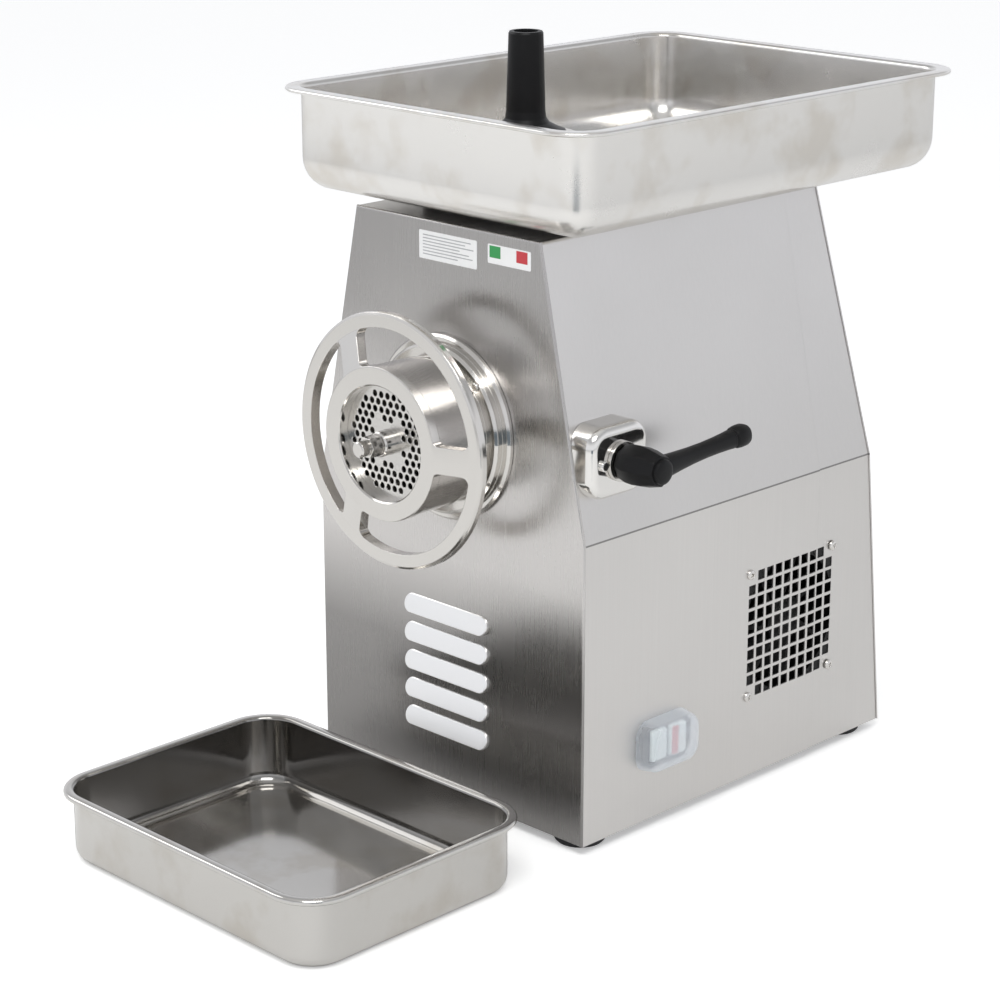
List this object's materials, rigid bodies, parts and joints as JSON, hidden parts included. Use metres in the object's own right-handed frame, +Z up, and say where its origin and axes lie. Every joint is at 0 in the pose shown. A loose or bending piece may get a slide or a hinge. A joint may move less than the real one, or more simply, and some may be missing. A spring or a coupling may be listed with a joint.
{
  "type": "electric meat grinder",
  "caption": "Stainless countertop meat grinder: cabinet with geared motor, draw-out grinding head with hand wheel, feed tray, plunger and pan.",
  "frame": {"origin": "on the floor, in the middle of the cabinet's footprint, under its feet", "axes": "+Z up, -Y towards the front where the head comes out, +X towards the side with the switch, fan and clamp lever"},
  "size_m": [0.3651, 0.7179, 0.612],
  "materials": {
    "steel_body": "brushed stainless sheet",
    "steel_tray": "satin pressed stainless sheet",
    "steel_bright": "polished cast or turned stainless steel",
    "steel_mild": "plain machined steel, lightly oiled",
    "cast_alloy": "die-cast, as cast",
    "cast_grey": "grey cast, machined bore",
    "lamination": "pressed electrical sheet",
    "bronze": "turned bronze",
    "black_plastic": "moulded, fine texture",
    "rubber": "moulded rubber",
    "start_cap": "moulded, pale green white",
    "stop_cap": "moulded, red",
    "clear_cover": "clear soft silicone",
    "label_face": "blank printed film"
  },
  "bodies": {
    "cabinet": {"casing": "steel_body", "front_panel": "steel_body", "rear_panel": "steel_body", "base_plate": "steel_mild", "rubber_feet": "rubber", "foot_screws": "steel_bright", "panel_screws": "steel_bright", "cable_gland": "black_plastic", "front_labels": "label_face", "tray_gasket": "rubber", "head_socket": "cast_grey", "feed_neck": "steel_tray", "clamp_boss": "steel_body", "boss_screw": "steel_bright", "switch_body": "black_plastic", "switch_cover": "clear_cover", "gear_housing": "cast_alloy", "gear_cover": "cast_alloy", "shaft_seal": "rubber", "gear_bearings": "steel_mild", "gearbox_stand": "steel_mild", "motor_housing": "cast_alloy", "motor_front_bell": "cast_alloy", "motor_rear_bell": "cast_alloy", "motor_bearings": "steel_mild", "motor_stator": "lamination", "motor_cradle": "steel_mild", "fan_frame": "black_plastic", "fan_screws": "steel_bright", "run_capacitor": "cast_alloy", "control_box": "black_plastic"},
    "drive": {"drive_shaft": "steel_mild", "drive_gear": "steel_mild"},
    "lay": {"lay_shaft": "steel_mild", "lay_gear": "steel_mild", "lay_pinion": "steel_mild"},
    "rotor": {"motor_shaft": "steel_mild", "motor_rotor": "lamination", "motor_pinion": "steel_mild"},
    "fan": {"fan_rotor": "black_plastic"},
    "head": {"head_barrel": "steel_bright", "head_pin": "steel_bright", "auger_washer": "bronze"},
    "feed_screw": {"auger": "steel_bright", "auger_stud": "steel_bright", "stud_nut": "steel_bright", "knife": "steel_bright"},
    "plate": {"plate": "steel_bright"},
    "wheel": {"ring_wheel": "steel_bright"},
    "shoe": {"clamp_shoe": "bronze"},
    "lever": {"clamp_lever": "black_plastic", "clamp_screw": "steel_mild", "clamp_washer": "steel_bright"},
    "start": {"start_button": "start_cap"},
    "stop": {"stop_button": "stop_cap"},
    "tray": {"tray": "steel_tray", "throat_guard": "steel_tray"},
    "plunger": {"plunger": "black_plastic"},
    "pan": {"pan": "steel_tray"}
  },
  "joints": [
    {"name": "drive_turn", "type": "hinge", "parent": "cabinet", "child": "drive", "pos_m": [0, 0, 0.3165], "axis": [0, -1, 0], "continuous": true},
    {"name": "lay_turn", "type": "hinge", "parent": "cabinet", "child": "lay", "pos_m": [0, 0, 0.2215], "axis": [0, -1, 0], "continuous": true},
    {"name": "rotor_turn", "type": "hinge", "parent": "cabinet", "child": "rotor", "pos_m": [0, 0, 0.1405], "axis": [0, -1, 0], "continuous": true},
    {"name": "fan_turn", "type": "hinge", "parent": "cabinet", "child": "fan", "pos_m": [0.13, 0.061, 0.1305], "axis": [1, 0, 0], "continuous": true},
    {"name": "head_out", "type": "slide", "parent": "cabinet", "child": "head", "axis": [0, -1, 0], "range_m": [0, 0.2]},
    {"name": "auger_turn", "type": "hinge", "parent": "head", "child": "feed_screw", "pos_m": [0, -0.15, 0.3165], "axis": [0, -1, 0], "continuous": true},
    {"name": "plate_out", "type": "slide", "parent": "head", "child": "plate", "axis": [0, -1, 0], "range_m": [0, 0.0121]},
    {"name": "wheel_turn", "type": "hinge", "parent": "plate", "child": "wheel", "pos_m": [0, -0.25, 0.3165], "axis": [0, -1, 0], "range_deg": [0, 1080]},
    {"name": "shoe_out", "type": "slide", "parent": "cabinet", "child": "shoe", "axis": [1, 0, 0], "range_m": [0, 0.0031]},
    {"name": "lever_turn", "type": "hinge", "parent": "shoe", "child": "lever", "pos_m": [0.17, -0.154, 0.314], "axis": [1, 0, 0], "range_deg": [0, 360]},
    {"name": "start_press", "type": "slide", "parent": "cabinet", "child": "start", "axis": [-1, 0, 0], "range_m": [0, 0.003], "stiffness_N_per_m": 600},
    {"name": "stop_press", "type": "slide", "parent": "cabinet", "child": "stop", "axis": [-1, 0, 0], "range_m": [0, 0.003], "stiffness_N_per_m": 600},
    {"name": "tray_lift", "type": "slide", "parent": "cabinet", "child": "tray", "axis": [0, 0, 1], "range_m": [0, 0.12]},
    {"name": "plunger_lift", "type": "slide", "parent": "tray", "child": "plunger", "axis": [0, 0, 1], "range_m": [0, 0.15]},
    {"name": "pan_lift", "type": "slide", "parent": "cabinet", "child": "pan", "axis": [0, 0, 1], "range_m": [0, 0.15]}
  ],
  "couplings": [
    {"joint": "lay_turn", "follows": "drive_turn", "ratio": -2.8},
    {"joint": "rotor_turn", "follows": "drive_turn", "ratio": 9.8},
    {"joint": "auger_turn", "follows": "drive_turn", "ratio": 1},
    {"joint": "plate_out", "follows": "wheel_turn", "m_per_rad": 0.00063662},
    {"joint": "shoe_out", "follows": "lever_turn", "m_per_rad": 0.00047746}
  ]
}
